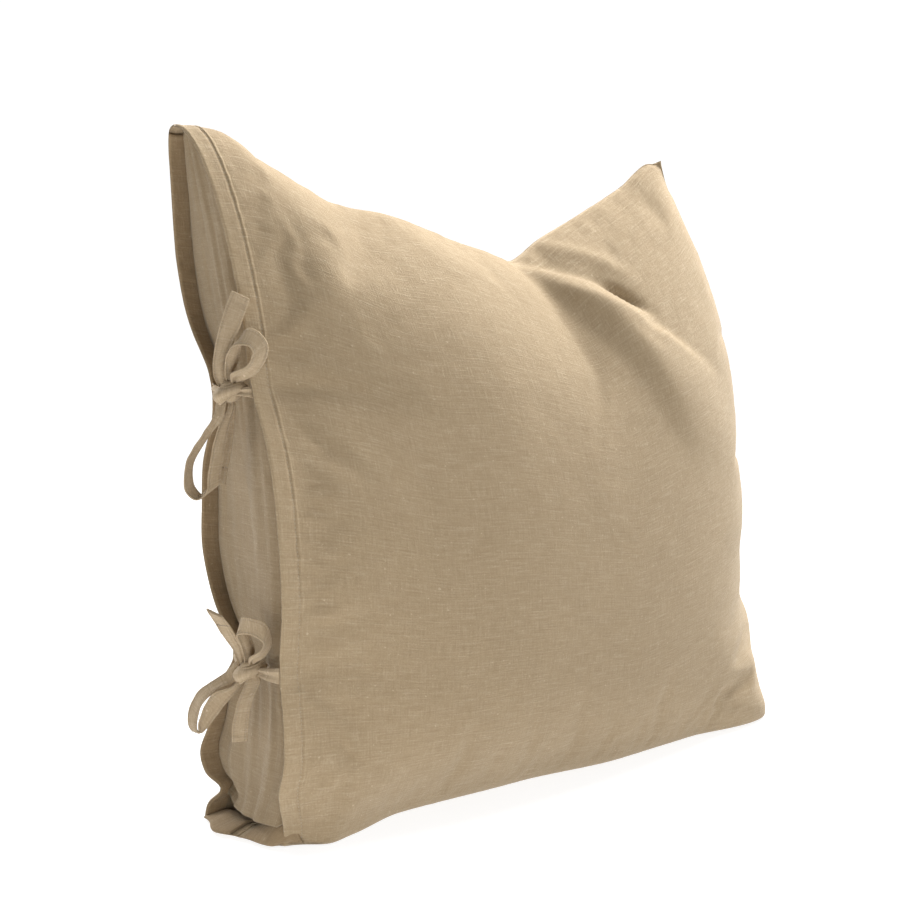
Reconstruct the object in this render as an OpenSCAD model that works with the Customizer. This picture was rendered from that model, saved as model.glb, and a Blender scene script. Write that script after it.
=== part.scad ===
// Floor cushion: a linen cover with an open flanged side closed by two tie bows,
// a tuck-in flap behind the opening, and a loose insert inside.
// The cushion stands on its bottom edge. The opening is on the left (-X), the front
// face looks towards -Y, and the origin is on the floor under the cushion's middle.

/* [Cushion] */
// Height of the top corners above the floor
cushion_height = 612; // [560:1:660]
// Lower opening corner, measured left from the middle
bottom_left = 300; // [280:1:320]
// Upper opening corner, measured left from the middle
top_left = 325; // [305:1:340]
// Lower closed corner, measured right from the middle
bottom_right = 345; // [320:1:360]
// Upper closed corner, measured right from the middle
top_right = 262; // [240:1:290]
// Greatest half thickness of the filled cushion
half_thickness = 100; // [80:1:115]
// Half width of the flattened base on the floor
base_half = 50; // [40:1:65]
// How far the top edge leans back from the base
top_lean = 50; // [20:1:70]
// Depth of the dent pressed into the top edge
dent_depth = 112; // [60:1:130]
// Place of the dent along the top edge, as a share of its length
dent_place = 0.593; // [0.5:0.005:0.65]

/* [Cover] */
// Thickness of the cover's linen
cloth = 1.2; // [0.8:0.1:1.5]
// Width of the turned hem along each flange
hem_width = 18; // [16:1:30]
// Half width of the opening between the bows
opening_half = 64; // [50:1:70]
// How far a bow pulls in the front flange
front_pull = 8; // [4:1:14]
// How far a bow pulls in the back flange
back_pull = 28; // [16:1:34]
// Depth of the tuck-in flap behind the flange edges, in the middle of the opening
flap_depth = 6; // [4:1:12]
// Length that the flap reaches in beside the insert
flap_tuck = 60; // [40:1:90]

/* [Ties] */
// Width of a tie
tie_width = 15; // [12:0.5:18]
// Thickness of a folded and sewn tie
tie_thickness = 2.4; // [1.6:0.1:3]
// Height of the upper bow's knot
upper_knot_height = 384; // [360:1:410]
// Height of the lower bow's knot
lower_knot_height = 150; // [135:1:170]

/* [Insert] */
// Clearance between the cover's skin and the insert
insert_clearance = 8; // [7.2:0.1:9]
// Thickness of the insert's cotton casing
casing = 1; // [0.6:0.1:1.2]

/* [Hidden] */

linen = "tan";
cotton = "ivory";
thread = "wheat";
feather = "white";

front = -1;
back = 1;
// The middle plane at the floor sits this far behind the origin
mid_offset = -10;
// Share of a panel's height that lies on the floor
base_share = 0.09;
// Half gap left between two faces that meet at a seam, at the floor and above it
seam_gap = 0.15;
wall_seam_gap = 0.5;
// The bottom seam ends this far inside the closed corner
seam_end = 4;
// The hem's two layers start this far inside the skin, and the flap a little further in
hem_inset = cloth + 0.3;
flap_inset = hem_inset + 2 * cloth + 0.9;
// The flap leaves the hems at this depth and crosses the opening
flap_edge_depth = 18;
thread_radius = 0.5;
stitch_line = hem_width - 3;
columns = 20;
base_rows = 3;
wall_rows = 23;

// Numbers that shape the surface, as shares of its width and height
knot_share = [(upper_knot_height + 6) / cushion_height, (lower_knot_height + 4) / cushion_height];
knot_spread = 0.06;
ear_reach = 37;

function smooth(low, high, x) =
    let (t = max(0, min(1, (x - low) / (high - low)))) t * t * (3 - 2 * t);
function bell(x, centre, width) = exp(-pow((x - centre) / width, 2));
function clamp(x) = max(0, min(1, x));

// ---- The cushion's skin ------------------------------------------------------------
// s runs from the opening (0) to the closed side (1); t from the floor (0) to the top (1)

function left_edge(t) =
    -bottom_left + (bottom_left - top_left) * t + 24 * pow(clamp(4 * t * (1 - t)), 0.8);
function right_edge(t) =
    bottom_right + (top_right - bottom_right) * pow(t, 3.6) - 12 * bell(t, 0.2, 0.1);
function width_at(t) = right_edge(t) - left_edge(t);
function dent(s) =
    let (r = sqrt(pow(s - dent_place, 2) + pow(0.012, 2)))
    dent_depth * clamp(1 - r / (s < dent_place ? dent_place : 1 - dent_place))
        + 16 * bell(s, 0.24, 0.09) - 7 * bell(s, 0.95, 0.04) * smooth(1, 0.96, s);
function height_at(s, t) = (cushion_height - dent(s)) * t;
function lean(z) = top_lean * pow(max(z, 0) / cushion_height, 1.6);
function middle(s, t) =
    mid_offset + lean(height_at(s, t)) - ear_reach * smooth(0.78, 1, s) * smooth(0.22, 0, t);

// Half width of the mouth between the flanges; a bow narrows it at each knot
function knot_pull(t) = bell(t, knot_share[0], knot_spread) + bell(t, knot_share[1], knot_spread);
function mouth(t) =
    let (rise = 1 - pow(1 - sqrt(clamp((1 - t) / 0.3)), 2))
    46 * rise + (opening_half - 46) * smooth(0.75, 0.45, t);
function mouth_half(t, side) = side == front
    ? mouth(t) * (0.56 + 0.44 * smooth(0, 0.14, t)) - front_pull * knot_pull(t)
    : mouth(t) * (0.8 + 0.2 * smooth(0, 0.14, t)) + 7 * smooth(0.97, 0.8, t) - back_pull * knot_pull(t);

// Half thickness away from the mouth
function base_half_at(s) = base_half + 16 * bell(s, 0.13, 0.1) + 8 * bell(s, 0.85, 0.1);
function body_half(s, t) =
    let (
        over = clamp((s - 0.42) / 0.58),
        across = pow(1 - pow(over, 3), 0.62),
        start = base_half_at(s) / half_thickness,
        low = clamp(1 - t / 0.36),
        high = clamp((t - 0.36) / 0.64),
        up = t < 0.36 ? start + (1 - start) * sqrt(1 - low * low) : pow(1 - pow(high, 2.6), 0.62)
    )
    half_thickness * across * up;
function skin_half(s, t, side) =
    let (filled = pow(smooth(0, 0.42, s), 0.8))
    mouth_half(t, side) * (1 - filled) + body_half(s, t) * filled;

// The flanges curl inward where they meet the floor
function floor_curl(s, t, side) = (side == front ? 20 : -6) * smooth(0.1, 0, t) * smooth(0.12, 0, s);

// A point of the skin moved inward by depth; v adds the base strip below the wall
function skin(s, v, side, depth = 0, squeeze = 1) =
    let (
        t = clamp((v - base_share) / (1 - base_share)),
        b = clamp(v / base_share),
        least = seam_gap + (wall_seam_gap - seam_gap) * b,
        half = max((skin_half(s, t, side) * b - depth) * squeeze, least)
    )
    [
        left_edge(t) + width_at(t) * s + floor_curl(s, t, side) * b * squeeze
            - (depth + seam_end * (1 - b)) * s,
        middle(s, t) + side * half,
        height_at(s, t) + depth * (1 - 2 * t)
    ];

function rows_from(low, high, count) = [for (i = [0 : count]) low + (high - low) * i / count];
// All rows of a whole panel, from the bottom seam to the top seam
panel_rows = concat(
    rows_from(0, base_share, base_rows),
    [for (v = rows_from(base_share, 1, wall_rows)) if (v > base_share) v]
);
// The first three columns are the hem's, so that the hem lies flat against the panel
hem_share = hem_width / 600;
hem_columns = [0, hem_share / 2, hem_share];
panel_columns = concat(
    hem_columns,
    [for (i = [1 : columns - 2]) hem_share + (1 - hem_share) * pow(i / (columns - 2), 1.1)]
);
hem_rows = [for (v = panel_rows) if (v > base_share + 0.02 && v < 0.98) v];

function panel_grid(side, depth) =
    [for (s = panel_columns) [for (v = panel_rows) skin(s, v, side, depth)]];
function strip_grid(side, depth) =
    [for (s = hem_columns) [for (v = hem_rows) skin(s, v, side, depth)]];

// ---- Solids built from grids of points ---------------------------------------------

function joined(lists) = [for (list = lists) each list];
// Quads of a grid split in two; flipped turns their faces over
function grid_faces(across, up, first, flipped) = joined([
    for (i = [0 : across - 2]) for (j = [0 : up - 2])
        let (a = first + i * up + j, b = a + up, c = b + 1, d = a + 1)
        flipped ? [[a, c, b], [a, d, c]] : [[a, b, c], [a, c, d]]
]);
function rim(across, up) = concat(
    [for (i = [0 : across - 1]) i * up],
    [for (j = [1 : up - 1]) (across - 1) * up + j],
    [for (i = [across - 2 : -1 : 0]) i * up + up - 1],
    [for (j = [up - 2 : -1 : 1]) j]
);
function rim_faces(loop, shift, flipped) = joined([
    for (k = [0 : len(loop) - 1])
        let (a = loop[k], b = loop[(k + 1) % len(loop)], c = b + shift, d = a + shift)
        flipped ? [[a, b, c], [a, c, d]] : [[a, c, b], [a, d, c]]
]);
// A closed sheet between two grids of the same size
module sheet(outer, inner, flipped = false) {
    across = len(outer);
    up = len(outer[0]);
    count = across * up;
    polyhedron(
        points = concat(joined(outer), joined(inner)),
        faces = concat(
            grid_faces(across, up, 0, !flipped),
            grid_faces(across, up, count, flipped),
            rim_faces(rim(across, up), count, !flipped)
        )
    );
}

// ---- Ribbons and threads along a route ---------------------------------------------

function unit(v) = v / max(norm(v), 0.0001);
function spline_point(p, i, u) =
    let (
        a = p[max(i - 1, 0)], b = p[i], c = p[i + 1], d = p[min(i + 2, len(p) - 1)]
    )
    0.5 * ((2 * b) + (c - a) * u + (2 * a - 5 * b + 4 * c - d) * u * u
        + (3 * b - a - 3 * c + d) * u * u * u);
// A smooth route through a few chosen points
function route(p, steps) = concat(
    [for (i = [0 : len(p) - 2]) for (k = [0 : steps - 1]) spline_point(p, i, k / steps)],
    [p[len(p) - 1]]
);
function heading(path, i) = unit(path[min(i + 1, len(path) - 1)] - path[max(i - 1, 0)]);
// Rings of four corners; broad points along the ribbon's width
function ribbon_ring(path, i, broad, half_w, half_t) =
    let (
        ahead = heading(path, i),
        thin = unit(cross(ahead, broad)),
        wide = cross(thin, ahead)
    )
    [for (c = [[1, 1], [-1, 1], [-1, -1], [1, -1]])
        path[i] + wide * half_w * c[0] + thin * half_t * c[1]];
module ribbon(path, broad_start, broad_end, half_w, half_t) {
    last = len(path) - 1;
    rings = [for (i = [0 : last])
        ribbon_ring(path, i, unit(broad_start * (1 - i / last) + broad_end * i / last), half_w, half_t)];
    polyhedron(
        points = joined(rings),
        faces = concat(
            [[0, 1, 2], [0, 2, 3]],
            joined([for (i = [0 : last - 1]) for (k = [0 : 3])
                let (a = 4 * i + k, b = 4 * i + (k + 1) % 4, c = b + 4, d = a + 4)
                [[a, d, c], [a, c, b]]]),
            [[4 * last, 4 * last + 2, 4 * last + 1], [4 * last, 4 * last + 3, 4 * last + 2]]
        )
    );
}
module thread_line(path, broad = [1, 0.3, 0.2]) {
    ribbon(path, broad, broad, thread_radius, thread_radius);
}

// ---- Places of the bows ------------------------------------------------------------
// A bow is laid out to its right, out of the opening and up from its knot's centre

upper_knot = [-302, -10, upper_knot_height];
lower_knot = [-294, -22, lower_knot_height];
bow_turn = 37;
bow_right = [cos(bow_turn), -sin(bow_turn), 0];
bow_out = [-sin(bow_turn), -cos(bow_turn), 0];
function bow(knot, p) = knot + bow_right * p[0] + bow_out * p[1] + [0, 0, p[2]];
function bow_route(knot, points, steps) = route([for (p = points) bow(knot, p)], steps);

// Routes are right, out and up from the knot's centre
upper_front_loop_route = [
    [2, 5, 13], [3, 9, 24], [8, 14, 38], [18, 19, 45], [29, 21, 43],
    [32, 21, 32], [26, 20, 20], [17, 19, 11]
];
upper_front_tail_route = [[-5, -7, -14], [-9, -9, -32], [-12, -9, -54], [-14, -8, -80]];
upper_back_loop_route = [
    [-9, 3, -13], [-19, 5, -30], [-29, 6, -52], [-35, 6, -74], [-33, 5, -88],
    [-26, 4, -88], [-20, 3, -74], [-15, 3, -52], [-9, 3, -30], [-2, 3, -15]
];
upper_back_tail_route = [[-8, 3, 15], [-5, 6, 30], [2, 10, 52], [11, 13, 77]];
lower_front_loop_route = [
    [-3, 7, 14], [-6, 12, 24], [-5, 16, 35], [1, 19, 41], [10, 20, 42],
    [17, 20, 32], [17, 17, 21], [12, 12, 12]
];
lower_front_tail_route = [[2, 10, -14], [0, 12, -28], [-3, 13, -44], [-6, 13, -60]];
lower_back_loop_route = [
    [-16, 0, -4], [-30, -1, -9], [-42, -2, -20], [-50, -2, -36], [-49, -2, -48],
    [-42, -3, -49], [-34, -4, -39], [-24, -5, -27], [-12, -4, -17]
];
lower_back_tail_route = [[-10, -2, 14], [-15, 3, 25], [-20, 9, 38], [-27, 13, 51]];

// A tie's sewn end lies on the inside of its hem, then runs out over the flange edge
sewn_inset = flap_inset + 0.4 + tie_thickness / 2;
function knot_row(knot) =
    base_share + (1 - base_share) * knot[2] / (cushion_height - dent(0));
function lead_route(knot, side) =
    let (
        row = knot_row(knot),
        sewn = skin(10 / 600, row, side, sewn_inset),
        edge = skin(1 / 600, row, side, sewn_inset),
        near = knot + [side * -1, side * 9, side * 1]
    )
    route([sewn, edge, edge * 0.5 + near * 0.5 + [-3, 0, 0], near], 3);

module knot_half(knot, side) {
    for (part = [[0, 7, 5], [-5, 7, -4], [5, 7, 0]])
        translate(knot + bow_right * part[0] + [0, side * part[1], part[2]])
            sphere(r = 5.6, $fn = 14);
}
module tie_with_knot(knot, side) {
    union() {
        hull() knot_half(knot, side);
        ribbon(lead_route(knot, side), [0, 0, 1], [0, 0, 1], tie_width / 2, tie_thickness / 2);
    }
}
module tie_part(knot, points, broad_start, broad_end) {
    ribbon(bow_route(knot, points, 3), broad_start, broad_end, tie_width / 2 - 1, tie_thickness / 2);
}
// A loop is seen at a slant; a tail shows its flat face
loop_broad = unit(bow_out + [0, 0, 0.35]);
tail_broad = bow_right;

// ---- Cover -------------------------------------------------------------------------

module cover_front() {
    color(linen) sheet(panel_grid(front, 0), panel_grid(front, cloth));
}
module cover_back() {
    color(linen) sheet(panel_grid(back, 0), panel_grid(back, cloth), true);
}

// The flap crosses behind the opening and is tucked in along both hems
flap_steps = 6;
flap_arms = 3;
function flap_point(q, v, depth) =
    let (
        t = (v - base_share) / (1 - base_share),
        side = q < 0 ? front : back,
        w = min(abs(q), 1),
        run = max(abs(q) - 1, 0) * flap_tuck + flap_edge_depth,
        edge_point = skin(run / width_at(t), v, side, flap_inset + depth),
        mid_y = middle(0, t),
        edge_y = edge_point[1] - mid_y,
        inward = flap_depth + (flap_edge_depth - flap_depth) * pow(w, 3)
    )
    abs(q) >= 1 ? [edge_point[0] + (abs(q) > 1.01 ? 0 : depth), edge_point[1], edge_point[2]]
        : [left_edge(t) + inward + depth, mid_y + edge_y * w, height_at(0, t)];
flap_places = concat(
    [for (k = [flap_arms : -1 : 1]) -1 - k / flap_arms],
    [for (k = [-flap_steps : flap_steps]) k / flap_steps],
    [for (k = [1 : flap_arms]) 1 + k / flap_arms]
);
function flap_grid(depth) =
    [for (q = flap_places) [for (v = hem_rows) flap_point(q, v, depth)]];
module tuck_flap() {
    color(linen) sheet(flap_grid(0), flap_grid(cloth), true);
}

module front_hem() {
    color(linen)
        sheet(strip_grid(front, hem_inset), strip_grid(front, hem_inset + 2 * cloth));
}
module back_hem() {
    color(linen)
        sheet(strip_grid(back, hem_inset), strip_grid(back, hem_inset + 2 * cloth), true);
}

// ---- Stitching ---------------------------------------------------------------------

function stitch_route(side) =
    [for (v = hem_rows) skin(stitch_line / 600, v, side, -1.1)];
module front_hem_stitching() { color(thread) thread_line(stitch_route(front)); }
module back_hem_stitching() { color(thread) thread_line(stitch_route(back)); }

// Seam threads run in the hollow just inside the seams
seam_depth = 3;
function seam_point(s, v) =
    let (p = skin(s, v, front), t = (v - base_share) / (1 - base_share))
    [p[0] - seam_depth * s, middle(s, t), height_at(s, t) + seam_depth * (1 - 2 * t)];
module top_seam_thread() {
    color(thread) thread_line([for (s = panel_columns) if (s > 0.01 && s < 0.97) seam_point(s, 1)]);
}
module side_seam_thread() {
    color(thread) thread_line([for (v = hem_rows) seam_point(1, v)]);
}
module bottom_seam_thread() {
    color(thread)
        thread_line([for (s = panel_columns) if (s > 0.03 && s < 0.97) seam_point(s, base_share)], [0, 0, 1]);
}

// ---- Ties --------------------------------------------------------------------------

module upper_front_tie() { color(linen) tie_with_knot(upper_knot, front); }
module upper_front_tie_loop() {
    color(linen) tie_part(upper_knot, upper_front_loop_route, loop_broad, loop_broad);
}
module upper_front_tie_tail() {
    color(linen) tie_part(upper_knot, upper_front_tail_route, tail_broad, tail_broad);
}
module upper_back_tie() { color(linen) tie_with_knot(upper_knot, back); }
module upper_back_tie_loop() {
    color(linen) tie_part(upper_knot, upper_back_loop_route, loop_broad, loop_broad);
}
module upper_back_tie_tail() {
    color(linen) tie_part(upper_knot, upper_back_tail_route, tail_broad, tail_broad);
}
module lower_front_tie() { color(linen) tie_with_knot(lower_knot, front); }
module lower_front_tie_loop() {
    color(linen) tie_part(lower_knot, lower_front_loop_route, loop_broad, loop_broad);
}
module lower_front_tie_tail() {
    color(linen) tie_part(lower_knot, lower_front_tail_route, tail_broad, tail_broad);
}
module lower_back_tie() { color(linen) tie_with_knot(lower_knot, back); }
module lower_back_tie_loop() {
    color(linen) tie_part(lower_knot, lower_back_loop_route, loop_broad, loop_broad);
}
module lower_back_tie_tail() {
    color(linen) tie_part(lower_knot, lower_back_tail_route, tail_broad, tail_broad);
}

// ---- Insert ------------------------------------------------------------------------

// The insert is blunt where it presses against the flap
insert_start = 12;
insert_blunt = 34;
function insert_point(i, v, side, depth) =
    let (
        t = clamp((v - base_share) / (1 - base_share)),
        begin = (insert_start + depth) / width_at(t),
        share = pow(i / columns, 1.5),
        s = begin + (1 - begin) * share,
        run = clamp((s - begin) * width_at(t) / insert_blunt),
        squeeze = pow(1 - pow(1 - run, 2.5), 0.5)
    )
    skin(s, v, side, insert_clearance + depth, squeeze);
function insert_grid(side, depth) =
    [for (i = [0 : columns]) [for (v = panel_rows) insert_point(i, v, side, depth)]];
module insert_front() {
    color(cotton) sheet(insert_grid(front, 0), insert_grid(front, casing));
}
module insert_back() {
    color(cotton) sheet(insert_grid(back, 0), insert_grid(back, casing), true);
}
module insert_seam_thread() {
    color(thread)
        for (line = [[0, 0], [1, 0]])
            thread_line([for (v = rows_from(base_share + 0.02, 0.97, 30))
                let (p = insert_point(line[0] * columns, v, front, line[1]))
                [p[0] + (line[0] == 0 ? -1.2 : 1.2), p[1] + seam_gap, p[2]]]);
}
// The filling stops short of the casing's seams, where its edge is blunt
filling_rows = [for (v = panel_rows) if (v > 0.02 && v < 0.98) v];
function filling_grid(side) = [for (i = [1 : columns - 1])
    [for (v = filling_rows) insert_point(i, v, side, casing + 0.6)]];
module filling() {
    color(feather) sheet(filling_grid(front), filling_grid(back));
}

cover_front();
cover_back();
tuck_flap();
front_hem();
back_hem();
front_hem_stitching();
back_hem_stitching();
top_seam_thread();
side_seam_thread();
bottom_seam_thread();
upper_front_tie();
upper_front_tie_loop();
upper_front_tie_tail();
upper_back_tie();
upper_back_tie_loop();
upper_back_tie_tail();
lower_front_tie();
lower_front_tie_loop();
lower_front_tie_tail();
lower_back_tie();
lower_back_tie_loop();
lower_back_tie_tail();
insert_front();
insert_back();
insert_seam_thread();
filling();
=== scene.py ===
import math

import bpy
import numpy as np
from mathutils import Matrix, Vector


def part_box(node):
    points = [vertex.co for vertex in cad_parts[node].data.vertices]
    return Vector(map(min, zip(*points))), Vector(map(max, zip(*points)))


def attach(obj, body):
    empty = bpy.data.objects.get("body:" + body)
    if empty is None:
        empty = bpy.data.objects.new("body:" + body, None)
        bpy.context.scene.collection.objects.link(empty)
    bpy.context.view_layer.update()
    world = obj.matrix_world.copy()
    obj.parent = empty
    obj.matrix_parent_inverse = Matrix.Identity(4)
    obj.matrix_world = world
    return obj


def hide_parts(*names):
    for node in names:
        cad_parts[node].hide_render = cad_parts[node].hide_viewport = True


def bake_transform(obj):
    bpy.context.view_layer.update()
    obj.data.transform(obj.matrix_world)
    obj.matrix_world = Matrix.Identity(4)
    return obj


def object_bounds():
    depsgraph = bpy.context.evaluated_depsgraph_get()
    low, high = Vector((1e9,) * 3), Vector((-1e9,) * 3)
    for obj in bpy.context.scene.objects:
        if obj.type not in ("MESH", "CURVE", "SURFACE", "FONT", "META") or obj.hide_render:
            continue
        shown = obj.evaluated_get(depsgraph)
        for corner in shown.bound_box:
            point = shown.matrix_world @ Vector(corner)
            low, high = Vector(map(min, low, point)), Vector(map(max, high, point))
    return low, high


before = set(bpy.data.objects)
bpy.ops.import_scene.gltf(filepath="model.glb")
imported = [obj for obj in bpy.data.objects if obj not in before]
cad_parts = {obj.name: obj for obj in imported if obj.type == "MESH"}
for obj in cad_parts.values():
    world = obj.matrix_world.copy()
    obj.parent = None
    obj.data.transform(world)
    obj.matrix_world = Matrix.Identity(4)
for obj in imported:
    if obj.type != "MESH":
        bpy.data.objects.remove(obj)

cad_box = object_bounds()
MM = 0.001
FRONT, BACK = -1, 1
ROOT = "cushion"

# ---- Camera, light and floor -------------------------------------------------------


CAMERA_TILT, CAMERA_TURN = 5.3, 37
FLOOR_REACH = 12
FLOOR_GAP = 0.0015


def place_camera():
    data = bpy.data.cameras.new("camera")
    data.lens, data.sensor_width = 50, 36
    camera = bpy.data.objects.new("camera", data)
    bpy.context.scene.collection.objects.link(camera)
    camera.location = (-0.780, -0.946, 0.430)
    camera.rotation_euler = (math.radians(90 - CAMERA_TILT), 0, math.radians(-CAMERA_TURN))
    bpy.context.scene.camera = camera


def area_light(name, place, target, size, power, tint=(1, 1, 1)):
    data = bpy.data.lights.new(name, "AREA")
    data.shape, data.size, data.energy, data.color = "DISK", size, power, tint
    light = bpy.data.objects.new(name, data)
    bpy.context.scene.collection.objects.link(light)
    light.location = place
    light.visible_camera = False
    aim = Vector(target) - Vector(place)
    light.rotation_euler = aim.to_track_quat("-Z", "Y").to_euler()


def set_stage():
    world = bpy.data.worlds.new("studio")
    bpy.context.scene.world = world
    world.use_nodes = True
    tree = world.node_tree
    # A white room that is darker towards its front left
    coords = tree.nodes.new("ShaderNodeTexCoord")
    towards = tree.nodes.new("ShaderNodeVectorMath")
    towards.operation = "DOT_PRODUCT"
    towards.inputs[1].default_value = (0.9, 0.35, 0.35)
    tone = tree.nodes.new("ShaderNodeMapRange")
    for k, value in enumerate((-0.3, 0.45, 0.12, 1.06)):
        tone.inputs[k + 1].default_value = value
    tree.links.new(coords.outputs["Generated"], towards.inputs[0])
    tree.links.new(towards.outputs["Value"], tone.inputs[0])
    background = tree.nodes["Background"]
    background.inputs["Color"].default_value = (1, 1, 1, 1)
    tree.links.new(tone.outputs[0], background.inputs["Strength"])
    area_light("key", (1.2, 0.1, 2.3), (0.1, 0, 0.4), 1.2, 118, (1, 0.985, 0.96))
    area_light("back", (-0.45, 1.7, 1.3), (0, 0, 0.35), 0.8, 26)
    area_light("left", (-1.4, 0.2, 0.28), (-0.3, 0, 0.2), 0.35, 2.4, (1, 0.97, 0.93))
    area_light("low", (-0.45, -0.42, 0.05), (-0.25, 0, 0.02), 0.2, 0.5, (1, 0.97, 0.93))
    floor = bpy.data.meshes.new("floor")
    signs = ((-1, -1), (1, -1), (1, 1), (-1, 1))
    corners = [(a * FLOOR_REACH, b * FLOOR_REACH, 0) for a, b in signs]
    floor.from_pydata(corners, [], [(0, 1, 2, 3)])
    plane = bpy.data.objects.new("floor", floor)
    bpy.context.scene.collection.objects.link(plane)
    plane.location.z = cad_box[0].z - FLOOR_GAP
    pale = bpy.data.materials.new("floor")
    pale.use_nodes = True
    shader = pale.node_tree.nodes["Principled BSDF"]
    shader.inputs["Base Color"].default_value = (0.25, 0.25, 0.25, 1)
    shader.inputs["Roughness"].default_value = 0.8
    shader.inputs["Emission Color"].default_value = (1, 1, 1, 1)
    shader.inputs["Emission Strength"].default_value = 0.85
    floor.materials.append(pale)
    bpy.context.scene.view_settings.view_transform = "Standard"


# ---- Numbers of the filled cover, in millimetres -----------------------------------

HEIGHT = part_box("cover_front")[1].z / MM
PANEL_WIDTH = 600
HALF_THICKNESS = 100
BASE_SHARE = 0.09
CLOTH = 1.2
CUT_SIDE = 0.65
HEM = 18
STITCH_LINE = 15
# The notch pressed into the top edge: its share of the width, its depth, and the end of
# the fold that runs from it, as (along the panel, down from its top corner)
DENT_PLACE = 0.593
DENT_DEPTH = 112
FOLD_END = (445, 170)
UPPER_KNOT = (-302, -10, 384)
LOWER_KNOT = (-294, -22, 150)
KNOT_SHARES = ((UPPER_KNOT[2] + 6) / HEIGHT, (LOWER_KNOT[2] + 4) / HEIGHT)


def clamp(x):
    return np.clip(x, 0, 1)


def smooth(low, high, x):
    t = clamp((x - low) / (high - low))
    return t * t * (3 - 2 * t)


def bell(x, centre, width):
    return np.exp(-(((x - centre) / width) ** 2))


def left_edge(t):
    return -300 - 25 * t + 24 * clamp(4 * t * (1 - t)) ** 0.8


def right_edge(t):
    return 345 - 83 * t**3.6 - 12 * bell(t, 0.2, 0.1)


def width_at(t):
    return right_edge(t) - left_edge(t)


def height_at(s, t):
    away = np.sqrt((s - DENT_PLACE) ** 2 + 0.012**2)
    reach = np.where(s < DENT_PLACE, DENT_PLACE, 1 - DENT_PLACE)
    dent = DENT_DEPTH * clamp(1 - away / reach) + 16 * bell(s, 0.24, 0.09)
    dent = dent - 7 * bell(s, 0.95, 0.04) * smooth(1, 0.96, s)
    return (HEIGHT - dent) * t


def middle(s, t):
    lean = 50 * (np.maximum(height_at(s, t), 0) / HEIGHT) ** 1.6
    return lean - 10 - 37 * smooth(0.78, 1, s) * smooth(0.22, 0, t)


def mouth_half(t, side):
    rise = 1 - (1 - np.sqrt(clamp((1 - t) / 0.3))) ** 2
    mouth = 46 * rise + 18 * smooth(0.75, 0.45, t)
    pull = bell(t, KNOT_SHARES[0], 0.06) + bell(t, KNOT_SHARES[1], 0.06)
    if side == FRONT:
        return mouth * (0.56 + 0.44 * smooth(0, 0.14, t)) - 8 * pull
    return mouth * (0.8 + 0.2 * smooth(0, 0.14, t)) + 7 * smooth(0.97, 0.8, t) - 28 * pull


def body_half(s, t):
    over = clamp((s - 0.42) / 0.58)
    start = (50 + 16 * bell(s, 0.13, 0.1) + 8 * bell(s, 0.85, 0.1)) / HALF_THICKNESS
    low, high = clamp(1 - t / 0.36), clamp((t - 0.36) / 0.64)
    rising = start + (1 - start) * np.sqrt(1 - low * low)
    up = np.where(t < 0.36, rising, (1 - high**2.6) ** 0.62)
    return HALF_THICKNESS * (1 - over**3) ** 0.62 * up


def skin(s, v, side, depth=0.0, squeeze=1.0):
    """A point of the cover in metres: s from the opening to the closed side, v from the
    bottom seam over the base strip and up the wall, moved inward by depth."""
    s, v = np.broadcast_arrays(np.asarray(s, float), np.asarray(v, float))
    t, b = clamp((v - BASE_SHARE) / (1 - BASE_SHARE)), clamp(v / BASE_SHARE)
    filled = smooth(0, 0.42, s) ** 0.8
    half = mouth_half(t, side) * (1 - filled) + body_half(s, t) * filled
    half = np.maximum((half * b - depth) * squeeze, 0.15 + 0.35 * b)
    curl = (20 if side == FRONT else -6) * smooth(0.1, 0, t) * smooth(0.12, 0, s)
    x = left_edge(t) + width_at(t) * s + curl * b * squeeze - (depth + 4 * (1 - b)) * s
    y = middle(s, t) + side * half
    z = height_at(s, t) + depth * (1 - 2 * t)
    return np.stack([x, y, z], -1) * MM


# ---- Small tools -------------------------------------------------------------------


def noise(x, y, seed):
    """Smooth value noise between -1 and 1."""
    grid = np.random.default_rng(seed).random((64, 64)) * 2 - 1
    x, y = np.broadcast_arrays(np.asarray(x, float), np.asarray(y, float))
    i, j = np.floor(x).astype(int), np.floor(y).astype(int)
    u, w = x - i, y - j
    u, w = u * u * (3 - 2 * u), w * w * (3 - 2 * w)
    i, j, k, m = i % 64, j % 64, (i + 1) % 64, (j + 1) % 64
    low = grid[i, j] * (1 - u) + grid[k, j] * u
    return low * (1 - w) + (grid[i, m] * (1 - u) + grid[k, m] * u) * w


def crumple(x, y, scale, seed):
    """Soft creases in every direction, a few sizes together, about -1 to 1."""
    total = 0
    for k, (share, turn) in enumerate(((0.6, 0.4), (0.3, 1.5), (0.15, 2.6))):
        size = scale / 1.9**k
        a = (x * math.cos(turn) + y * math.sin(turn)) / size
        b = (y * math.cos(turn) - x * math.sin(turn)) / size
        total = total + share * (1 - 2 * np.abs(noise(a, b, seed + k)) ** 0.8)
    return total


def resample(places, values, wanted):
    """Cubic interpolation of values along their first axis."""
    places = np.asarray(places, float)
    slopes = np.gradient(values, places, axis=0)
    i = np.clip(np.searchsorted(places, wanted) - 1, 0, len(places) - 2)
    span = places[i + 1] - places[i]
    shape = (-1,) + (1,) * (values.ndim - 1)
    u = ((wanted - places[i]) / span).reshape(shape)
    span = span.reshape(shape)
    ease = u * u * (3 - 2 * u)
    start = (u**3 - 2 * u**2 + u) * span * slopes[i]
    end = (u**3 - u**2) * span * slopes[i + 1]
    return values[i] * (1 - ease) + values[i + 1] * ease + start + end


def resample_grid(columns, rows, grid, new_columns, new_rows):
    halfway = resample(columns, grid, new_columns).swapaxes(0, 1)
    return resample(rows, halfway, new_rows).swapaxes(0, 1)


def grid_normals(grid, flip):
    along, up = np.gradient(grid, axis=0), np.gradient(grid, axis=1)
    normal = np.cross(along, up) * flip
    return normal / np.maximum(np.linalg.norm(normal, axis=-1, keepdims=True), 1e-12)


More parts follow.
